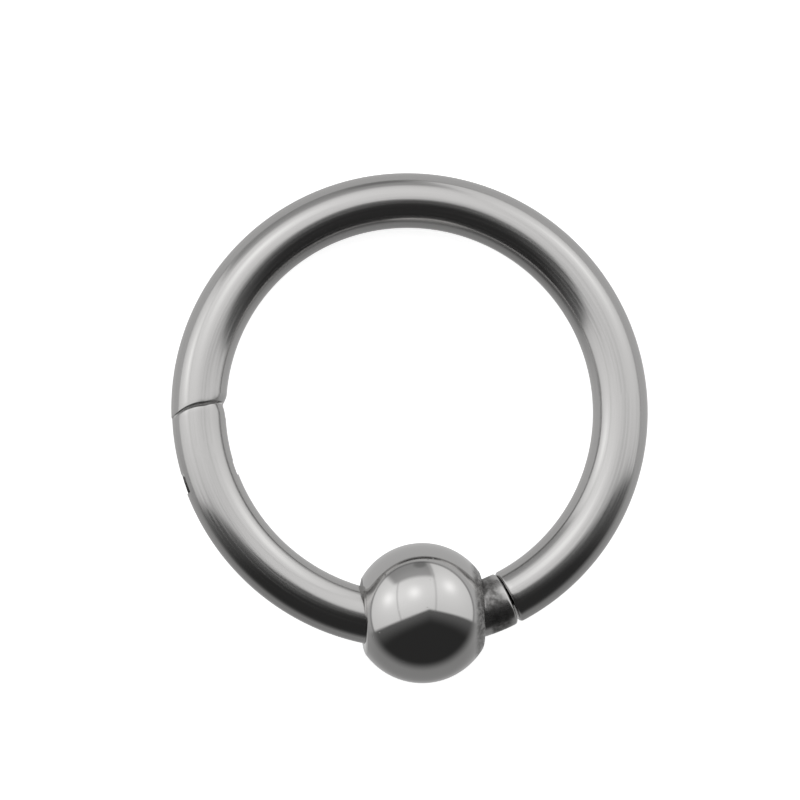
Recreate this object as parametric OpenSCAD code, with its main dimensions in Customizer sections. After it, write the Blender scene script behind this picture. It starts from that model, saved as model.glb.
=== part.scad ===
// Captive bead ring: a hinged ring of round wire whose short gate carries one bead.
// The ring lies on its side. It touches the ground at the bead and at the wire opposite,
// so its plane leans by a few degrees. The origin is under the middle of its box.
// Angles run anticlockwise round the ring, and the bead sits at 270 degrees, towards -Y.

/* [Wire] */
// Diameter of the round wire
wire_d = 1.2; // [1.0:0.1:1.6]
// Inside diameter of the closed ring
ring_inner_d = 8.0; // [7:0.5:12]
// Gap left where the gate's end faces meet the ring's
seam_gap = 0.05; // [0.03:0.01:0.08]
// Sharp edge taken off the free ends
edge_break = 0.08; // [0.05:0.01:0.12]

/* [Bead] */
// Diameter of the ball
bead_d = 3.05; // [2.8:0.05:4]
// Length of the bead between its two flats
bead_len = 2.6; // [2.3:0.1:2.7]
// How far the ball's centre lies inside the wire's centre circle
bead_inset = 0.16; // [0:0.02:0.18]
// Gap between the wire and the bead's bore
bead_gap = 0.01; // [0.005:0.005:0.02]

/* [Gate] */
// Angle of the hinge's seam
hinge_seam_angle = 176.4; // [165:0.1:185]
// Angle of the seam at the gate's free end
free_seam_angle = 293.9; // [290:0.1:300]
// Diameter of the shallow nub that clicks into the free end
nub_d = 0.5; // [0.4:0.05:0.6]
// Height of that nub
nub_height = 0.1; // [0.06:0.01:0.12]

/* [Hinge] */
// Distance from the hinge's seam to the pin, as a share of the wire's diameter
pin_setback = 0.85; // [0.8:0.01:0.9]
// Diameter of the hinge pin
pin_d = 0.4; // [0.3:0.05:0.45]
// Gap between the pin and the fork's holes
pin_fork_gap = 0.005; // [0.003:0.001:0.008]
// Gap between the pin and the tongue's hole
pin_tongue_gap = 0.02; // [0.015:0.005:0.03]
// Thickness of the flat tongue
tongue_t = 0.42; // [0.36:0.02:0.46]
// Gap on each side of the tongue in the fork's slot
tongue_side_gap = 0.03; // [0.02:0.01:0.04]
// Radius of the tongue's round end about the pin, as a share of the wire's diameter
tongue_end = 0.54; // [0.53:0.01:0.55]
// Depth of the fork's slot past the pin, as a share of the wire's diameter
slot_depth = 0.58; // [0.58:0.01:0.62]

/* [Hidden] */
$fn = 96;
// How far a cutting shape runs past what it cuts
clear = 1;
wire_r = wire_d / 2;
ring_r = ring_inner_d / 2 + wire_r;
bead_angle = 270;
bead_at = ring_r - bead_inset;
lean = asin((bead_d / 2 - wire_r) / (bead_at + ring_r));
half_gap = seam_gap / 2;
half_gap_angle = half_gap / ring_r * 180 / PI;
pin_angle = hinge_seam_angle + pin_setback * wire_d / ring_r * 180 / PI;
seam_arc_r = 2 * ring_r * sin((pin_angle - hinge_seam_angle) / 2);
slot_end_angle = pin_angle + slot_depth * wire_d / ring_r * 180 / PI;
nub_ball_r = (nub_d * nub_d / 4 + nub_height * nub_height) / (2 * nub_height);
nub_ball_in = nub_ball_r - nub_height;
near_edge = bead_at * cos(lean) + bead_d / 2;
far_edge = ring_r * cos(lean) + wire_r;
rest_y = (near_edge - far_edge) / 2;
rest_z = wire_r + ring_r * sin(lean);

// Puts the closed ring, drawn flat about the Z axis, in its resting place
module at_rest() {
    translate([0, rest_y, rest_z]) rotate([-lean, 0, 0]) children();
}

// Round wire along the centre circle, from one angle to the next
module wire(from, to, r = wire_r) {
    rotate([0, 0, from])
        rotate_extrude(angle = to - from, $fn = 360)
            translate([ring_r, 0]) circle(r = r);
}

// Flat sector between two radii and two angles, as tall as height
module sector(from, to, inner, outer, height) {
    rotate([0, 0, from])
        rotate_extrude(angle = to - from, $fn = 360)
            translate([inner, -height / 2]) square([outer - inner, height]);
}

// Puts a shape on the centre circle with its Z axis along the wire, pointing anticlockwise
module on_wire(angle) {
    rotate([0, 0, angle]) translate([ring_r, 0, 0]) rotate([-90, 0, 0]) children();
}

// Puts a shape on the centre circle with its Z axis across the ring
module across_wire(angle) {
    rotate([0, 0, angle]) translate([ring_r, 0, 0]) children();
}

// Ring that takes the sharp edge off a wire end whose face looks along +Z at height 0
module edge_cut() {
    difference() {
        translate([0, 0, -2 * edge_break]) cylinder(r = wire_r + clear / 4, h = 4 * edge_break);
        translate([0, 0, -3 * edge_break])
            cylinder(r1 = wire_r + 2 * edge_break, r2 = wire_r - 4 * edge_break, h = 6 * edge_break);
    }
}

// Part of the wire's outer half that the gate's round fork end gives up to the ring
module outer_shoulder() {
    difference() {
        sector(hinge_seam_angle - clear, pin_angle, ring_r - wire_r / 6, ring_r + clear, 2 * clear);
        across_wire(pin_angle) cylinder(r = seam_arc_r - half_gap, h = 3 * clear, center = true);
    }
}

// Room that the ring leaves for one cheek of the fork, above the tongue
module cheek_room() {
    translate([0, 0, tongue_t / 2 + clear]) {
        sector(hinge_seam_angle - half_gap_angle, slot_end_angle, ring_r - clear,
            ring_r - wire_r / 6, 2 * clear);
        sector(pin_angle, slot_end_angle, ring_r - 2 * clear, ring_r + 2 * clear, 2 * clear);
        across_wire(pin_angle) cylinder(r = seam_arc_r + half_gap, h = 2 * clear, center = true);
    }
}

// Room past the tongue's round end
module tongue_end_room() {
    difference() {
        sector(pin_angle, slot_end_angle + 2, ring_r - clear, ring_r + clear, 2 * clear);
        across_wire(pin_angle) cylinder(r = tongue_end * wire_d, h = 3 * clear, center = true);
    }
}

module ring_body() {
    color("silver") at_rest() difference() {
        wire(free_seam_angle - 360 + half_gap_angle, slot_end_angle);
        cheek_room();
        mirror([0, 0, 1]) cheek_room();
        tongue_end_room();
        across_wire(pin_angle)
            cylinder(r = pin_d / 2 + pin_tongue_gap, h = wire_d, center = true);
        on_wire(free_seam_angle + half_gap_angle) mirror([0, 0, 1]) edge_cut();
        on_wire(free_seam_angle - half_gap_angle)
            translate([0, 0, -nub_ball_in]) sphere(r = nub_ball_r + half_gap);
    }
}

module gate_arc() {
    color("silver") at_rest() union() {
        difference() {
            wire(hinge_seam_angle + half_gap_angle, free_seam_angle - half_gap_angle);
            outer_shoulder();
            sector(hinge_seam_angle - 5, slot_end_angle, ring_r - clear, ring_r + clear,
                tongue_t + 2 * tongue_side_gap);
            across_wire(pin_angle)
                cylinder(r = pin_d / 2 + pin_fork_gap, h = 2 * clear, center = true);
            on_wire(free_seam_angle - half_gap_angle) edge_cut();
        }
        intersection() {
            on_wire(free_seam_angle - half_gap_angle)
                translate([0, 0, -nub_ball_in]) sphere(r = nub_ball_r);
            on_wire(free_seam_angle - half_gap_angle)
                translate([0, 0, -wire_r / 4]) cylinder(r = wire_r / 2, h = wire_r);
        }
    }
}

module bead() {
    color("lightgray") at_rest() difference() {
        rotate([0, 0, bead_angle]) translate([bead_at, 0, 0]) intersection() {
            sphere(d = bead_d);
            cube([bead_d + clear, bead_len, bead_d + clear], center = true);
        }
        wire(bead_angle - 30, bead_angle + 30, wire_r + bead_gap);
    }
}

module hinge_pin() {
    color("darkgray") at_rest() intersection() {
        across_wire(pin_angle) cylinder(r = pin_d / 2, h = 2 * wire_d, center = true);
        wire(pin_angle - 6, pin_angle + 6);
    }
}

ring_body();
gate_arc();
bead();
hinge_pin();
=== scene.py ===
from math import acos, asin, atan2, cos, hypot, pi, radians, sin, sqrt

import bmesh
import bpy
from mathutils import Matrix, Vector


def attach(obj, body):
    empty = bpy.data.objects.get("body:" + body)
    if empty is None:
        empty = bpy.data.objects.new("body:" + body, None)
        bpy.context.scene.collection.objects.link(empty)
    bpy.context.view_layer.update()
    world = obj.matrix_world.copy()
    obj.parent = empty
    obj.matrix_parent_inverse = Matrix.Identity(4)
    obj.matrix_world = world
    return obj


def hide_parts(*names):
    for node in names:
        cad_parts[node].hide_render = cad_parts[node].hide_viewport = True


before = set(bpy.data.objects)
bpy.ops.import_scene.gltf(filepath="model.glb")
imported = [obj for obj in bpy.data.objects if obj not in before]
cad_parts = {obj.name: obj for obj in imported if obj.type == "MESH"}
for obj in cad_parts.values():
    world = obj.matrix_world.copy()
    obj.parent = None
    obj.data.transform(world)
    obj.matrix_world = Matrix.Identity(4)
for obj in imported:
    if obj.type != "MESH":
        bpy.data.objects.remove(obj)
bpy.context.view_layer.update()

# Sizes in millimetres and degrees. The ring is modelled flat about the Z axis, with the bead
# at 270 degrees, and is then laid on its side.
MM = 0.001
WIRE_D = 1.2
RING_INNER_D = 8.0
SEAM_GAP = 0.05
BEAD_D = 3.05
BEAD_LEN = 2.6
BEAD_INSET = 0.16
BEAD_GAP = 0.01
BEAD_ANGLE = 270
HINGE_SEAM_ANGLE = 176.4
FREE_SEAM_ANGLE = 293.9
NUB_D = 0.5
NUB_HEIGHT = 0.1
PIN_SETBACK = 0.85 * WIRE_D
PIN_D = 0.4
PIN_FORK_GAP = 0.005
PIN_TONGUE_GAP = 0.02
TONGUE_T = 0.42
TONGUE_SIDE_GAP = 0.03
TONGUE_END = 0.54 * WIRE_D
SLOT_DEPTH = 0.58 * WIRE_D

# How far the tongue's edges lie below the wire's round surface, and the notch filed in its
# inside edge at the seam: depth and reach along the wire
TONGUE_INSET = 0.015
TONGUE_NOTCH = 0.065
TONGUE_NOTCH_REACH = 0.3
# Rounding that polishing leaves on the hinge's lips, the free ends and the bead's flats
LIP_ROUND = 0.035
FREE_ROUND = 0.07
FLAT_ROUND = 0.07
# The hinge's seam rises towards the ring's inside, and its gap narrows towards the outside
SEAM_RISE = 0.08
SEAM_RISE_REACH = 0.4
OUTER_GAP_SHARE = 0.35
# Ease filed off each hinge lip on the ring's inside: depth and reach along the wire
LIP_EASE = 0.05
LIP_EASE_REACH = 0.2
# How much the free end's gap closes at the middle, and how much wider it is at the outside
FREE_GAP_CLOSE = 0.02
FREE_GAP_SPREAD = 0.02
# How deep inside each flat the bead's bore starts to flare
BORE_FLARE = 0.03

# How far the hinge's and the free end's shaping fades out along the wire
SEAM_FADE = 0.9
# How far the slot's cutter starts before the seam, and its width, which is more than the wire's
SLOT_LEAD = 0.2
SLOT_WIDTH = 1.2 * WIRE_D

# Mesh fineness: faces round each shape, step along the wire, rings of faces on flat ends,
# steps in a rounded edge and cuts along the slot
AROUND_WIRE = 96
ALONG_WIRE = 0.09
AROUND_BEAD = 160
AROUND_PIN = 64
AROUND_NUB = 64
WIRE_RINGS = 4
PIN_RINGS = 6
BEVEL_STEPS = 5
SLOT_CUTS = 16
# How near a point is to a plane, or to the wire's surface, when it counts as on it
ON_PLANE = 0.0001
ON_SURFACE = 0.0005
# Points nearer than this to a cutting plane are taken as on it
CUT_MERGE = 0.000001
# Angles in degrees: edges sharper than the first stay crisp, and faces that turn less than the
# second from the true round are shaded as part of it
CRISP_ANGLE = 28
ROUND_ANGLE = 20

WIRE_R = WIRE_D / 2
RING_R = RING_INNER_D / 2 + WIRE_R
BEAD_AT = RING_R - BEAD_INSET
LEAN = asin((BEAD_D / 2 - WIRE_R) / (BEAD_AT + RING_R))
REST_Y = (BEAD_AT * cos(LEAN) + BEAD_D / 2 - RING_R * cos(LEAN) - WIRE_R) / 2
REST_Z = WIRE_R + RING_R * sin(LEAN)
AT_REST = Matrix.Translation((0, REST_Y, REST_Z)) @ Matrix.Rotation(-LEAN, 4, "X")


def along(angle):
    """Distance along the wire's centre circle to an angle in degrees."""
    return RING_R * radians(angle)


HINGE_SEAM = along(HINGE_SEAM_ANGLE)
FREE_SEAM = along(FREE_SEAM_ANGLE)
PIN_AT = HINGE_SEAM + PIN_SETBACK
SLOT_END = PIN_AT + SLOT_DEPTH
SEAM_ARC_R = 2 * RING_R * sin(PIN_SETBACK / RING_R / 2)
NUB_BALL_R = (NUB_D ** 2 / 4 + NUB_HEIGHT ** 2) / (2 * NUB_HEIGHT)
NUB_BALL_AT = FREE_SEAM - SEAM_GAP / 2 - NUB_BALL_R + NUB_HEIGHT


def around_pin(x, radius):
    """Distance along the wire from the pin back to a circle about it, x outside the centre circle."""
    reach = RING_R + x
    return RING_R * acos((reach ** 2 + RING_R ** 2 - radius ** 2) / (2 * reach * RING_R))


def bent(point):
    """Where a point beside a straight wire goes when the wire is bent round the ring."""
    angle = point.y / RING_R
    reach = RING_R + point.x
    return Vector((reach * cos(angle), reach * sin(angle), point.z))


def centre_point(at):
    """Point on the wire's centre circle."""
    return bent(Vector((0, at, 0)))


def bend_round(bm):
    """Bends everything in a mesh round the ring."""
    for v in bm.verts:
        v.co = bent(v.co)


def round_rim(bm, axis, at, rounding):
    """Rounds the edges that lie in a plane across an axis, 0 for X and 1 for Y."""
    rim = [e for e in bm.edges if all(abs(v.co[axis] - at) < ON_PLANE for v in e.verts)]
    bmesh.ops.bevel(bm, geom=rim, offset=rounding, segments=BEVEL_STEPS, profile=0.5,
                    affect="EDGES", material=-1)


def ring_caps(bm, sides, rings, radius):
    """Divides flat ends into rings of faces round a middle point, so that they can be shaped."""
    for step in range(rings):
        caps = [f for f in bm.faces if len(f.verts) == sides]
        bmesh.ops.inset_individual(bm, faces=caps, thickness=radius / (rings + 2),
                                   use_even_offset=True)
    bmesh.ops.poke(bm, faces=[f for f in bm.faces if len(f.verts) == sides])


def flat_cut(bm, at, outward):
    """Cuts off what lies beyond a plane and closes the opening with a flat face."""
    cut = bmesh.ops.bisect_plane(
        bm, geom=bm.verts[:] + bm.edges[:] + bm.faces[:], dist=CUT_MERGE,
        plane_co=at, plane_no=outward, clear_outer=True)
    rim = [e for e in cut["geom_cut"] if isinstance(e, bmesh.types.BMEdge)]
    bmesh.ops.edgeloop_fill(bm, edges=rim)


def straight_rod(radius, start, end, start_round=0.0, end_round=0.0):
    """Rod along Y with rounded rims and rings on its ends, ready to be shaped and bent."""
    bm = bmesh.new()
    upended = Matrix.Translation((0, (start + end) / 2, 0)) @ Matrix.Rotation(-pi / 2, 4, "X")
    bmesh.ops.create_cone(bm, cap_ends=True, segments=AROUND_WIRE, radius1=radius, radius2=radius,
                          depth=end - start, matrix=upended)
    for at, rounding in ((start, start_round), (end, end_round)):
        if rounding:
            round_rim(bm, 1, at, rounding)
    ring_caps(bm, AROUND_WIRE, WIRE_RINGS, radius)
    long_edges = [e for e in bm.edges if e.calc_length() > (end - start) / 2]
    cuts = int((end - start) / ALONG_WIRE)
    bmesh.ops.subdivide_edges(bm, edges=long_edges, cuts=cuts, use_grid_fill=True)
    return bm


def upright_rod(radius, height, at):
    """Rod across the ring, its middle on the wire's centre circle."""
    bm = bmesh.new()
    bmesh.ops.create_cone(bm, cap_ends=True, segments=AROUND_PIN, radius1=radius, radius2=radius,
                          depth=height, matrix=Matrix.Translation(centre_point(at)))
    return bm


def smooth(value):
    """Soft step from 0 to 1."""
    value = min(1.0, max(0.0, value))
    return value * value * (3 - 2 * value)


def as_object(bm, name):
    """Object made of a mesh, its faces turned outward: a bent rod's can come out all inward."""
    bmesh.ops.recalc_face_normals(bm, faces=bm.faces)
    if bm.calc_volume(signed=True) < 0:
        bmesh.ops.reverse_faces(bm, faces=bm.faces)
    mesh = bpy.data.meshes.new(name)
    bm.to_mesh(mesh)
    bm.free()
    piece = bpy.data.objects.new(name, mesh)
    bpy.context.scene.collection.objects.link(piece)
    return piece


def combine(piece, tool, operation="DIFFERENCE"):
    """Cuts a tool out of a piece, or joins it on, and drops the tool."""
    modifier = piece.modifiers.new("combine", "BOOLEAN")
    modifier.solver = "EXACT"
    modifier.operation = operation
    modifier.object = tool
    graph = bpy.context.evaluated_depsgraph_get()
    made = bpy.data.meshes.new_from_object(piece.evaluated_get(graph))
    piece.modifiers.clear()
    old = piece.data
    piece.data = made
    made.name = piece.name
    bpy.data.meshes.remove(old)
    bpy.data.objects.remove(tool)


def pin_hole_tool(radius, height):
    """Room for the pin."""
    return as_object(upright_rod(radius, height, PIN_AT), "pin_hole_tool")


def ball_tool(radius, at):
    """Ball on the wire's centre circle, for the nub and its dimple."""
    bm = bmesh.new()
    bmesh.ops.create_uvsphere(bm, u_segments=AROUND_NUB, v_segments=AROUND_NUB // 2,
                              radius=radius, matrix=Matrix.Translation(centre_point(at)))
    return as_object(bm, "ball_tool")


def slot_tool():
    """Room for the tongue between the fork's cheeks."""
    bm = bmesh.new()
    start, end = HINGE_SEAM - SLOT_LEAD, SLOT_END
    size = Matrix.Diagonal((SLOT_WIDTH, end - start, TONGUE_T + 2 * TONGUE_SIDE_GAP, 1))
    bmesh.ops.create_cube(bm, size=1,
                          matrix=Matrix.Translation((0, (start + end) / 2, 0)) @ size)
    long_edges = [e for e in bm.edges if abs(e.verts[0].co.y - e.verts[1].co.y) > ON_PLANE]
    bmesh.ops.subdivide_edges(bm, edges=long_edges, cuts=SLOT_CUTS, use_grid_fill=True)
    bend_round(bm)
    return as_object(bm, "slot_tool")


def tongue():
    """Flat tongue with a round end and a hole, which runs back into the ring's wire."""
    root = HINGE_SEAM - WIRE_R
    tip = PIN_AT + TONGUE_END
    bm = straight_rod(WIRE_R - TONGUE_INSET, root, tip)
    for v in bm.verts:
        share = (v.co.y - root) / (tip - root)
        v.co.y += share * (around_pin(v.co.x, TONGUE_END) - TONGUE_END)
        near_seam = smooth(1 - abs(v.co.y - HINGE_SEAM) / TONGUE_NOTCH_REACH)
        v.co.x += TONGUE_NOTCH * near_seam * smooth(-v.co.x / WIRE_R)
    for side in (-1, 1):
        flat_cut(bm, (0, 0, side * TONGUE_T / 2), (0, 0, side))
    bend_round(bm)
    piece = as_object(bm, "tongue")
    combine(piece, pin_hole_tool(PIN_D / 2 + PIN_TONGUE_GAP, WIRE_D))
    return piece


def hinge_lip(x, side):
    """Where a lip of the hinge's seam lies, x outside the centre circle. Side is -1 for the
    ring's lip and 1 for the gate's."""
    gap = SEAM_GAP / 2 * (1 - (1 - OUTER_GAP_SHARE) * smooth(x / WIRE_R))
    rise = SEAM_RISE * smooth(-x / SEAM_RISE_REACH)
    return PIN_AT - around_pin(max(x, 0), SEAM_ARC_R - side * gap) - rise


def shape_ends(bm, hinge_end, free_end, side):
    """Shapes the lip at the hinge and slants the free end a touch."""
    for v in bm.verts:
        x, y = v.co.x, v.co.y
        near_hinge = smooth(1 - abs(y - hinge_end) / SEAM_FADE)
        near_free = smooth(1 - abs(y - free_end) / SEAM_FADE)
        v.co.y += near_hinge * (hinge_lip(x, side) - hinge_end)
        v.co.y += near_free * side * (FREE_GAP_CLOSE - FREE_GAP_SPREAD * x / WIRE_R) / 2
        near_lip = smooth(1 - abs(y - hinge_end) / LIP_EASE_REACH)
        v.co.x += LIP_EASE * near_lip * smooth(-x / WIRE_R)


def ring_body():
    """Long length of wire, from its free end round to the hinge's tongue."""
    start = FREE_SEAM + SEAM_GAP / 2 - along(360)
    end = HINGE_SEAM - SEAM_GAP / 2
    bm = straight_rod(WIRE_R, start, end, FREE_ROUND, LIP_ROUND)
    shape_ends(bm, end, start, -1)
    bend_round(bm)
    piece = as_object(bm, "ring_body_polished")
    combine(piece, tongue(), "UNION")
    combine(piece, ball_tool(NUB_BALL_R + SEAM_GAP / 2, NUB_BALL_AT))
    return piece


def gate_arc():
    """Short swinging length of wire, from its slotted fork to the nub on its free end."""
    start = HINGE_SEAM + SEAM_GAP / 2
    end = FREE_SEAM - SEAM_GAP / 2
    bm = straight_rod(WIRE_R, start, end, LIP_ROUND, FREE_ROUND)
    shape_ends(bm, start, end, 1)
    bend_round(bm)
    piece = as_object(bm, "gate_arc_polished")
    combine(piece, slot_tool())
    combine(piece, pin_hole_tool(PIN_D / 2 + PIN_FORK_GAP, 2 * WIRE_D))
    combine(piece, ball_tool(NUB_BALL_R, NUB_BALL_AT), "UNION")
    return piece


def bead():
    """Ball with two flats and a curved bore, which the gate's wire fills."""
    bm = bmesh.new()
    bmesh.ops.create_uvsphere(bm, u_segments=AROUND_BEAD, v_segments=AROUND_BEAD // 2,
                              radius=BEAD_D / 2, matrix=Matrix.Rotation(pi / 2, 4, "Y"))
    for side in (-1, 1):
        flat_cut(bm, (side * BEAD_LEN / 2, 0, 0), (side, 0, 0))
        round_rim(bm, 0, side * BEAD_LEN / 2, FLAT_ROUND)
    bmesh.ops.translate(bm, verts=bm.verts, vec=(0, -BEAD_AT, 0))
    piece = as_object(bm, "bead_polished")
    middle = along(BEAD_ANGLE)
    bore = straight_rod(WIRE_R + BEAD_GAP, middle - BEAD_LEN, middle + BEAD_LEN)
    for v in bore.verts:
        flare = max(0.0, abs(v.co.y - middle) - BEAD_LEN / 2 + BORE_FLARE)
        v.co.x *= 1 + flare
        v.co.z *= 1 + flare
    bend_round(bore)
    combine(piece, as_object(bore, "bore_tool"))
    return piece


def hinge_pin():
    """Cross pin, pressed into the fork's holes, its ends ground to the wire's round surface."""
    radius = PIN_D / 2 + PIN_FORK_GAP
    bm = upright_rod(radius, WIRE_D, PIN_AT)
    ring_caps(bm, AROUND_PIN, PIN_RINGS, radius)
    for v in bm.verts:
        height = sqrt(WIRE_R ** 2 - (hypot(v.co.x, v.co.y) - RING_R) ** 2)
        v.co.z = height if v.co.z > 0 else -height
    return as_object(bm, "hinge_pin_ground")


def true_shading(mesh):
    """Shades the wire's surface round the pin as the true round, across the pin's ends."""
    middle = centre_point(PIN_AT)
    normals = [(0, 0, 0)] * len(mesh.loops)
    for face in mesh.polygons:
        for loop in face.loop_indices:
            co = mesh.vertices[mesh.loops[loop].vertex_index].co
            outward = Vector((co.x, co.y, 0)).normalized()
            beside = co - outward * RING_R
            aside = Vector((co.x - middle.x, co.y - middle.y)).length
            on_round = abs(beside.length - WIRE_R) < ON_SURFACE and aside < PIN_D
            if on_round and face.normal.dot(beside.normalized()) > cos(radians(ROUND_ANGLE)):
                normals[loop] = beside.normalized()
    mesh.normals_split_custom_set(normals)


def unroll_wire(mesh):
    """UV map in millimetres: U along the wire and V round it, parted on the underside."""
    layer = mesh.uv_layers.new(name="wire_mm")
    for face in mesh.polygons:
        spots = []
        for loop in face.loop_indices:
            co = mesh.vertices[mesh.loops[loop].vertex_index].co
            turn = atan2(co.y, co.x) % (2 * pi)
            roll = atan2(hypot(co.x, co.y) - RING_R, co.z)
            spots.append((loop, turn, roll))
        first_turn, first_roll = spots[0][1], spots[0][2]
        for loop, turn, roll in spots:
            turn -= round((turn - first_turn) / (2 * pi)) * 2 * pi
            roll -= round((roll - first_roll) / (2 * pi)) * 2 * pi
            layer.data[loop].uv = (turn * RING_R, roll * WIRE_R)


def linear(hex_colour):
    """Linear RGBA of an sRGB hex colour."""
    parts = [int(hex_colour[i:i + 2], 16) / 255 for i in (1, 3, 5)]
    return [p / 12.92 if p <= 0.04045 else ((p + 0.055) / 1.055) ** 2.4 for p in parts] + [1.0]


def add_node(tree, kind, settings=None, **sockets):
    """Adds a node. A socket goes by its name, with _ for a space, or by _ and its number, and
    its value is a plain value or another node's output."""
    node = tree.nodes.new(kind)
    for name, value in (settings or {}).items():
        setattr(node, name, value)
    for name, value in sockets.items():
        key = int(name[1:]) if name[0] == "_" else name.replace("_", " ")
        socket = node.inputs[key]
        if isinstance(value, bpy.types.NodeSocket):
            tree.links.new(value, socket)
        else:
            socket.default_value = value
    return node


def new_material(name):
    """Empty material and its node tree."""
    material = bpy.data.materials.new(name)
    material.use_nodes = True
    material.node_tree.nodes.clear()
    return material, material.node_tree


# Finishes in millimetres. Buffing lines are about 0.01 mm apart and are drawn at 0.05 mm, so
# that they show. Broad waves are what the wheel leaves. Pits are about 0.03 mm wide: their
# floor and rim are given as shares of the spacing.
BUFF_LENGTH = 4.0
BUFF_WIDTH = 0.05
BUFF_DEPTH = 0.0006
WAVE_LENGTH = 10 / 3
WAVE_WIDTH = 0.4
WAVE_DEPTH = 0.004
PIT_SPACING = 0.25
PIT_FLOOR = 0.03
PIT_RIM = 0.07
PIT_DEPTH = 0.001
HAZE_SIZE = 2 / 3
GRAIN_SIZE = 0.05
# Roughness of each finish, from its smoothest to its roughest spots
WIRE_ROUGH = (0.1, 0.27)
BEAD_ROUGH = (0.05, 0.1)
PIN_ROUGH = (0.12, 0.2)
# Stretch of a noise pattern's values that counts, the rest being its rare peaks
NOISE_LOW = 0.3
NOISE_HIGH = 0.7
# Painted shade on the wire's stub beside the bead, darker and duller: where it starts and ends, how
# softly, and its blotches
STUB_SHADE_START = along(BEAD_ANGLE) + BEAD_LEN / 2
STUB_SHADE_END = FREE_SEAM - 0.05
STUB_SHADE_ONSET = 0.1
STUB_SHADE_FADE = 0.2
STUB_SHADE_BLOTCH = 1 / 9
STUB_SHADE_COVER = (0.35, 1.0)
# Painted shade on the bead's rim beside the stub, darker and duller as on the wire: how far from
# its middle it starts and is full, its blotches, and how much it covers between and in them
RIM_SHADE_START = 1.02
RIM_SHADE_FULL = 1.16
RIM_SHADE_BLOTCH = 1 / 12
RIM_SHADE_COVER = (0.35, 0.95)
# Colours of clean steel and of its painted shade, and the roughness where that shade is painted
WIRE_STEEL = "#BFBEBD"
WIRE_PAINTED_SHADE = "#6A6968"
WIRE_DULL_ROUGH = 0.42
BEAD_STEEL = "#C5C4C3"
BEAD_PAINTED_SHADE = "#545352"
BEAD_DULL_ROUGH = 0.4


def polished_wire_steel():
    """Surgical steel wire, mirror polished lengthways on a buffing wheel: clear reflections,
    drawn out a little across the wire by fine lines along it. Beside the bead its stub is darkened
    as painted shade, and made duller."""
    material, tree = new_material("polished_wire_steel")
    place = add_node(tree, "ShaderNodeUVMap", {"uv_map": "wire_mm"})
    lines = add_node(tree, "ShaderNodeMapping", Vector=place.outputs[0],
                     Scale=(1 / BUFF_LENGTH, 1 / BUFF_WIDTH, 1))
    fine = add_node(tree, "ShaderNodeTexNoise", Vector=lines.outputs[0], Scale=1.0, Detail=3.0)
    waves = add_node(tree, "ShaderNodeMapping", Vector=place.outputs[0],
                     Scale=(1 / WAVE_LENGTH, 1 / WAVE_WIDTH, 1))
    broad = add_node(tree, "ShaderNodeTexNoise", Vector=waves.outputs[0], Scale=1.0, Detail=1.0)
    rough = add_node(tree, "ShaderNodeMapRange", Value=fine.outputs[0],
                     From_Min=NOISE_LOW, From_Max=NOISE_HIGH,
                     To_Min=WIRE_ROUGH[0], To_Max=WIRE_ROUGH[1])
    # Painted shade: the stub darkened and dulled from the bead's flat to just short of the free end,
    # in blotches
    run = add_node(tree, "ShaderNodeSeparateXYZ", Vector=place.outputs[0])
    onset = add_node(tree, "ShaderNodeMapRange", {"interpolation_type": "SMOOTHSTEP"},
                     Value=run.outputs[0], From_Min=STUB_SHADE_START, From_Max=STUB_SHADE_START + STUB_SHADE_ONSET)
    fading = add_node(tree, "ShaderNodeMapRange", {"interpolation_type": "SMOOTHSTEP"},
                      Value=run.outputs[0], From_Min=STUB_SHADE_END - STUB_SHADE_FADE, From_Max=STUB_SHADE_END,
                      To_Min=1.0, To_Max=0.0)
    blotch = add_node(tree, "ShaderNodeTexNoise", Vector=place.outputs[0],
                      Scale=1 / STUB_SHADE_BLOTCH, Detail=4.0)
    blotches = add_node(tree, "ShaderNodeMapRange", Value=blotch.outputs[0],
                        From_Min=0.25, From_Max=0.6,
                        To_Min=STUB_SHADE_COVER[0], To_Max=STUB_SHADE_COVER[1])
    reach = add_node(tree, "ShaderNodeMath", {"operation": "MULTIPLY"},
                     _0=onset.outputs[0], _1=fading.outputs[0])
    stub_shade = add_node(tree, "ShaderNodeMath", {"operation": "MULTIPLY"},
                    _0=reach.outputs[0], _1=blotches.outputs[0])
    # The stub's steel colour darkens towards the painted shade
    tint = add_node(tree, "ShaderNodeMix", {"data_type": "RGBA"}, Factor=stub_shade.outputs[0],
                    _6=linear(WIRE_STEEL), _7=linear(WIRE_PAINTED_SHADE))
    dulled = add_node(tree, "ShaderNodeMix", Factor=stub_shade.outputs[0],
                      A=rough.outputs[0], B=WIRE_DULL_ROUGH)
    wave = add_node(tree, "ShaderNodeBump", Strength=1.0, Distance=WAVE_DEPTH * MM,
                    Height=broad.outputs[0])
    relief = add_node(tree, "ShaderNodeBump", Strength=1.0, Distance=BUFF_DEPTH * MM,
                      Height=fine.outputs[0], Normal=wave.outputs[0])
    steel = add_node(tree, "ShaderNodeBsdfPrincipled", Base_Color=tint.outputs[2], Metallic=1.0,
                     Roughness=dulled.outputs[0], Normal=relief.outputs[0])
    add_node(tree, "ShaderNodeOutputMaterial", Surface=steel.outputs[0])
    return material


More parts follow.
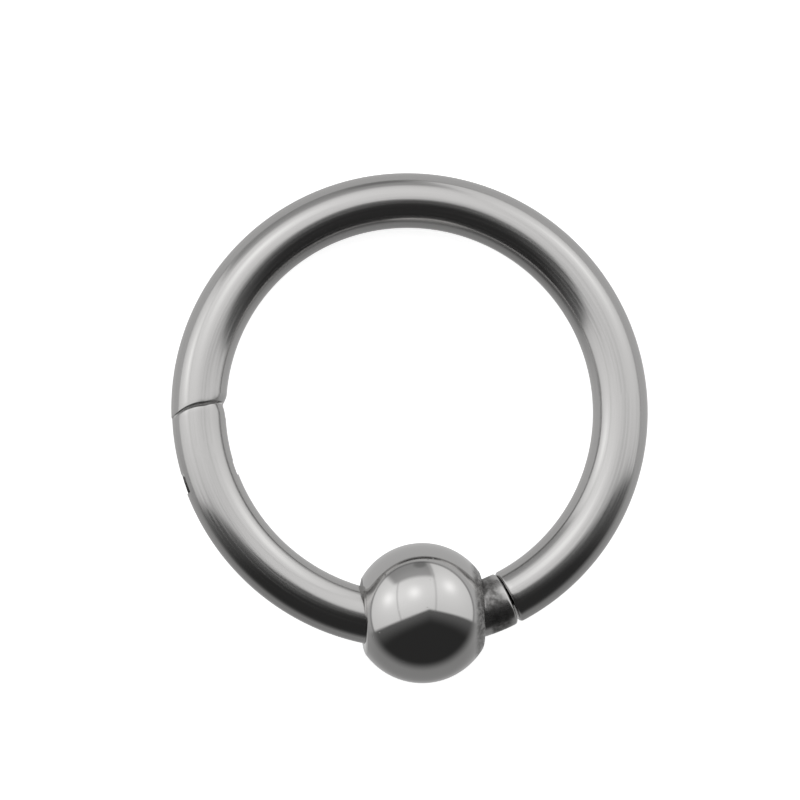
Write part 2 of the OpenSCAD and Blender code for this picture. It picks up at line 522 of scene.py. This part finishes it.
def polished_bead_steel():
    """Surgical steel ball, tumbled and buffed: a sharp mirror with a few pin-prick pits. Its rim
    beside the stub of wire is darkened as painted shade, and made duller."""
    material, tree = new_material("polished_bead_steel")
    place = add_node(tree, "ShaderNodeTexCoord")
    pits = add_node(tree, "ShaderNodeTexVoronoi", Vector=place.outputs["Object"],
                    Scale=1 / PIT_SPACING / MM)
    pit = add_node(tree, "ShaderNodeMapRange", Value=pits.outputs["Distance"],
                   From_Min=PIT_FLOOR, From_Max=PIT_RIM, To_Min=0.0, To_Max=1.0)
    haze = add_node(tree, "ShaderNodeTexNoise", Vector=place.outputs["Object"],
                    Scale=1 / HAZE_SIZE / MM)
    rough = add_node(tree, "ShaderNodeMapRange", Value=haze.outputs[0],
                     From_Min=NOISE_LOW, From_Max=NOISE_HIGH,
                     To_Min=BEAD_ROUGH[0], To_Max=BEAD_ROUGH[1])
    # Painted shade on the rim beside the stub, darkened and dulled, in blotches
    across = add_node(tree, "ShaderNodeSeparateXYZ", Vector=place.outputs["Object"])
    onset = add_node(tree, "ShaderNodeMapRange", {"interpolation_type": "SMOOTHSTEP"},
                     Value=across.outputs[0], From_Min=RIM_SHADE_START * MM, From_Max=RIM_SHADE_FULL * MM)
    blotch = add_node(tree, "ShaderNodeTexNoise", Vector=place.outputs["Object"],
                      Scale=1 / RIM_SHADE_BLOTCH / MM, Detail=2.0)
    blotches = add_node(tree, "ShaderNodeMapRange", Value=blotch.outputs[0],
                        From_Min=0.25, From_Max=0.75,
                        To_Min=RIM_SHADE_COVER[0], To_Max=RIM_SHADE_COVER[1])
    rim_shade = add_node(tree, "ShaderNodeMath", {"operation": "MULTIPLY"},
                     _0=onset.outputs[0], _1=blotches.outputs[0])
    # The rim's steel colour darkens towards the painted shade
    tint = add_node(tree, "ShaderNodeMix", {"data_type": "RGBA"}, Factor=rim_shade.outputs[0],
                    _6=linear(BEAD_STEEL), _7=linear(BEAD_PAINTED_SHADE))
    dulled = add_node(tree, "ShaderNodeMix", Factor=rim_shade.outputs[0],
                      A=rough.outputs[0], B=BEAD_DULL_ROUGH)
    relief = add_node(tree, "ShaderNodeBump", Strength=1.0, Distance=PIT_DEPTH * MM,
                      Height=pit.outputs[0])
    steel = add_node(tree, "ShaderNodeBsdfPrincipled", Base_Color=tint.outputs[2], Metallic=1.0,
                     Roughness=dulled.outputs[0], Normal=relief.outputs[0])
    add_node(tree, "ShaderNodeOutputMaterial", Surface=steel.outputs[0])
    return material


def ground_pin_steel():
    """Steel pin end, ground off level with the wire and buffed with it: it hardly shows."""
    material, tree = new_material("ground_pin_steel")
    place = add_node(tree, "ShaderNodeTexCoord")
    grain = add_node(tree, "ShaderNodeTexNoise", Vector=place.outputs["Object"],
                     Scale=1 / GRAIN_SIZE / MM)
    rough = add_node(tree, "ShaderNodeMapRange", Value=grain.outputs[0],
                     From_Min=NOISE_LOW, From_Max=NOISE_HIGH,
                     To_Min=PIN_ROUGH[0], To_Max=PIN_ROUGH[1])
    steel = add_node(tree, "ShaderNodeBsdfPrincipled", Base_Color=linear(WIRE_STEEL), Metallic=1.0,
                     Roughness=rough.outputs[0])
    add_node(tree, "ShaderNodeOutputMaterial", Surface=steel.outputs[0])
    return material


def finish_piece(piece, body, node, material):
    """Lays a piece in its resting place, gives it its finish and lets it ride on its body."""
    piece.data.materials.clear()
    piece.data.materials.append(material)
    piece.data.shade_smooth()
    piece.data.set_sharp_from_angle(angle=radians(CRISP_ANGLE))
    if node != "bead":
        true_shading(piece.data)
    piece.data.transform(Matrix.Scale(MM, 4) @ AT_REST)
    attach(piece, body)
    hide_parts(node)


wire_steel = polished_wire_steel()
long_wire = ring_body()
unroll_wire(long_wire.data)
finish_piece(long_wire, "ring", "ring_body", wire_steel)
short_wire = gate_arc()
unroll_wire(short_wire.data)
finish_piece(short_wire, "gate", "gate_arc", wire_steel)
finish_piece(bead(), "gate", "bead", polished_bead_steel())
finish_piece(hinge_pin(), "gate", "hinge_pin", ground_pin_steel())

# Camera: far off, nearly straight above the floor and a little to the left, turned so that the
# bead hangs just to the right of the bottom. Yaw and pitch are from square to the ring.
VIEW_ROLL = 3.5
VIEW_YAW = -5.0
VIEW_PITCH = 7.0
PICTURE = 800
PIXELS_PER_MM = 46.0
RING_CENTRE_PX = (409.8, 410.2)
LENS = 600
SENSOR = 36
# Farthest that the camera sees, in metres
FAR = 10

roll = radians(VIEW_ROLL)
flat_axes = Matrix(((cos(roll), sin(roll), 0), (-sin(roll), cos(roll), 0), (0, 0, 1)))
swung = Matrix.Rotation(radians(VIEW_YAW), 3, "Y") @ Matrix.Rotation(radians(VIEW_PITCH), 3, "X")
turned = AT_REST.to_3x3() @ flat_axes @ swung
right, up, towards = (turned.col[i] for i in range(3))
aside = (RING_CENTRE_PX[0] - PICTURE / 2) / PIXELS_PER_MM
below = (RING_CENTRE_PX[1] - PICTURE / 2) / PIXELS_PER_MM
distance = PICTURE / PIXELS_PER_MM * LENS / SENSOR
aim = Vector((0, REST_Y, REST_Z)) - aside * right + below * up
camera = bpy.data.objects.new("camera", bpy.data.cameras.new("camera"))
camera.matrix_world = Matrix.Translation((aim + distance * towards) * MM) @ turned.to_4x4()
camera.data.lens = LENS
camera.data.sensor_width = SENSOR
camera.data.clip_start = MM
camera.data.clip_end = FAR
bpy.context.scene.collection.objects.link(camera)
bpy.context.scene.camera = camera
bpy.context.scene.view_settings.view_transform = "Standard"

# Floor: white, lit evenly, so that only a faint shadow shows under the ring. Size in metres.
FLOOR_SIZE = 2.0
FLOOR_GLOW = 0.84
floor_bm = bmesh.new()
bmesh.ops.create_grid(floor_bm, x_segments=1, y_segments=1, size=FLOOR_SIZE / 2)
floor = as_object(floor_bm, "floor")
floor_paint, tree = new_material("matt_white_board")
matt = add_node(tree, "ShaderNodeBsdfDiffuse", Color=linear("#EDEDED"))
glow = add_node(tree, "ShaderNodeEmission", Color=linear("#FFFFFF"), Strength=FLOOR_GLOW)
both = add_node(tree, "ShaderNodeAddShader", _0=matt.outputs[0], _1=glow.outputs[0])
add_node(tree, "ShaderNodeOutputMaterial", Surface=both.outputs[0])
floor.data.materials.append(floor_paint)
floor.visible_glossy = False

# Studio: three soft panels over the ring, a black card in front of it and a grey surround.
# Directions are in the picture's axes: right, up and towards the camera.
PANELS = ((-0.82, 0.35, 0.45), (-0.21, 0.57, 0.79), (0.65, 0.64, 0.41))
PANEL_LIGHT = 1.1
# Spread light and bright core of each panel: strength and sharpness
PANEL_LOBES = ((0.32, 6), (0.5, 70))
# Planes through the ring that the seams between the panels and the edges of the cards lie in
LEFT_SEAM = (0.756, 0.275, 0.594)
RIGHT_SEAM = (0.924, -0.124, -0.361)
SEAM_LIGHT = 0.75
SEAM_WIDTH = 0.05
# Grey board beyond the middle panel: planes at its near, left and right edges
BOARD_EDGES = ((-0.062, 0.436, -0.898), (0.719, 0.695, 0.0), (-0.924, 0.124, 0.361))
BOARD_LIGHT = (0.66, 0.5)
BOARD_REACH = 0.5
BOARD_SOFTNESS = 0.08
# Black card: planes at its edges, brightness within and near the edge, and how far in it pales
CARD_EDGES = ((-0.360, 0.932, -0.045), (0.154, 0.976, -0.154))
CARD_LIGHT = (0.045, 0.2)
CARD_PALING = 0.4
CARD_SOFTNESS = 0.04
# Surround below the panels, from the side nearest the bead to the far side
SURROUND_LIGHT = (0.42, 0.78)
SURROUND_RUN = (-0.7, 0.1)
# How far below level the panels and the card give way to the surround
PANELS_END = (0.02, 0.12)
CARD_END = (-0.06, 0.4)
# Dark line where the panels end, a little below level with the ring
LINE_AT = -0.07
LINE_LIGHT = 0.45
LINE_WIDTH = 0.06
# Dark gap beyond the board: direction, how far it reaches and how far it is darkest, both in
# degrees, and the brightness left
GAP_TOWARDS = (-0.05, 0.995, 0.02)
GAP_REACH = 10
GAP_CORE = GAP_REACH / 3
GAP_LIGHT = 0.65

world = bpy.data.worlds.new("studio")
bpy.context.scene.world = world
world.use_nodes = True
tree = world.node_tree
tree.nodes.clear()
sky = add_node(tree, "ShaderNodeTexCoord")
look = add_node(tree, "ShaderNodeMapping", {"vector_type": "TEXTURE"},
                Vector=sky.outputs["Generated"], Rotation=turned.to_euler())


def light_across(axis, run, levels):
    """Brightness that goes softly from one level to the other over a run of shares along an
    axis. The share is 1 where a direction points along the axis and -1 where it points back."""
    share = add_node(tree, "ShaderNodeVectorMath", {"operation": "DOT_PRODUCT"},
                     _0=look.outputs[0], _1=Vector(axis).normalized())
    level = add_node(tree, "ShaderNodeMapRange", {"interpolation_type": "SMOOTHSTEP"},
                     Value=share.outputs["Value"], From_Min=run[0], From_Max=run[1],
                     To_Min=levels[0], To_Max=levels[1])
    return level.outputs[0]


def dark_line(lit, axis, at, width, left):
    """Light with a soft dark line across it, at a share along an axis."""
    sides = [light_across(axis, (at, at + side * width), (left, 1)) for side in (-1, 1)]
    dimming = add_node(tree, "ShaderNodeMath", {"operation": "MAXIMUM"}, _0=sides[0], _1=sides[1])
    dimmed = add_node(tree, "ShaderNodeMath", {"operation": "MULTIPLY"},
                      _0=lit, _1=dimming.outputs[0])
    return dimmed.outputs[0]


TO_CAMERA = (0, 0, 1)
FROM_CAMERA = (0, 0, -1)
PICTURE_UP = (0, 1, 0)
OFF_TO_ON = (0, 1)

panels = PANEL_LIGHT
for panel in PANELS:
    share = add_node(tree, "ShaderNodeVectorMath", {"operation": "DOT_PRODUCT"},
                     _0=look.outputs[0], _1=Vector(panel).normalized())
    facing = add_node(tree, "ShaderNodeMath", {"operation": "MAXIMUM"},
                      _0=share.outputs["Value"], _1=0.0)
    for strength, sharpness in PANEL_LOBES:
        lobe = add_node(tree, "ShaderNodeMath", {"operation": "POWER"},
                        _0=facing.outputs[0], _1=sharpness)
        brighter = add_node(tree, "ShaderNodeMath", {"operation": "MULTIPLY_ADD"},
                            _0=lobe.outputs[0], _1=strength, _2=panels)
        panels = brighter.outputs[0]
for seam in (LEFT_SEAM, RIGHT_SEAM):
    panels = dark_line(panels, seam, 0, SEAM_WIDTH, SEAM_LIGHT)

in_board = 1.0
for edge in BOARD_EDGES:
    inside = light_across(edge, (-BOARD_SOFTNESS, BOARD_SOFTNESS), OFF_TO_ON)
    within = add_node(tree, "ShaderNodeMath", {"operation": "MULTIPLY"}, _0=in_board, _1=inside)
    in_board = within.outputs[0]
board = light_across(TO_CAMERA, (BOARD_REACH, 0), BOARD_LIGHT)
boarded = add_node(tree, "ShaderNodeMix", Factor=in_board, A=panels, B=board)

gap_run = (cos(radians(GAP_REACH)), cos(radians(GAP_CORE)))
dimming = light_across(GAP_TOWARDS, gap_run, (1, GAP_LIGHT))
gapped = add_node(tree, "ShaderNodeMath", {"operation": "MULTIPLY"},
                  _0=boarded.outputs[0], _1=dimming)

card = 0.0
off_card = 0.0
for edge in CARD_EDGES:
    paling = light_across(edge, (-CARD_PALING, 0), CARD_LIGHT)
    outside = light_across(edge, (-CARD_SOFTNESS, CARD_SOFTNESS), OFF_TO_ON)
    palest = add_node(tree, "ShaderNodeMath", {"operation": "MAXIMUM"}, _0=card, _1=paling)
    farthest = add_node(tree, "ShaderNodeMath", {"operation": "MAXIMUM"}, _0=off_card, _1=outside)
    card = palest.outputs[0]
    off_card = farthest.outputs[0]

surround = light_across(PICTURE_UP, SURROUND_RUN, SURROUND_LIGHT)
under_panels = light_across(FROM_CAMERA, PANELS_END, OFF_TO_ON)
under_card = light_across(FROM_CAMERA, CARD_END, OFF_TO_ON)
around_card = add_node(tree, "ShaderNodeMix", Factor=under_panels,
                       A=gapped.outputs[0], B=surround)
lined = dark_line(around_card.outputs[0], TO_CAMERA, LINE_AT, LINE_WIDTH, LINE_LIGHT)
in_card = add_node(tree, "ShaderNodeMix", Factor=under_card, A=card, B=surround)
studio = add_node(tree, "ShaderNodeMix", Factor=off_card, A=in_card.outputs[0], B=lined)

light_path = add_node(tree, "ShaderNodeLightPath")
lit = add_node(tree, "ShaderNodeBackground", Strength=studio.outputs[0])
plain = add_node(tree, "ShaderNodeBackground", Color=linear("#F2F2F2"))
seen = add_node(tree, "ShaderNodeMixShader", _0=light_path.outputs["Is Camera Ray"],
                _1=lit.outputs[0], _2=plain.outputs[0])
add_node(tree, "ShaderNodeOutputWorld", Surface=seen.outputs[0])
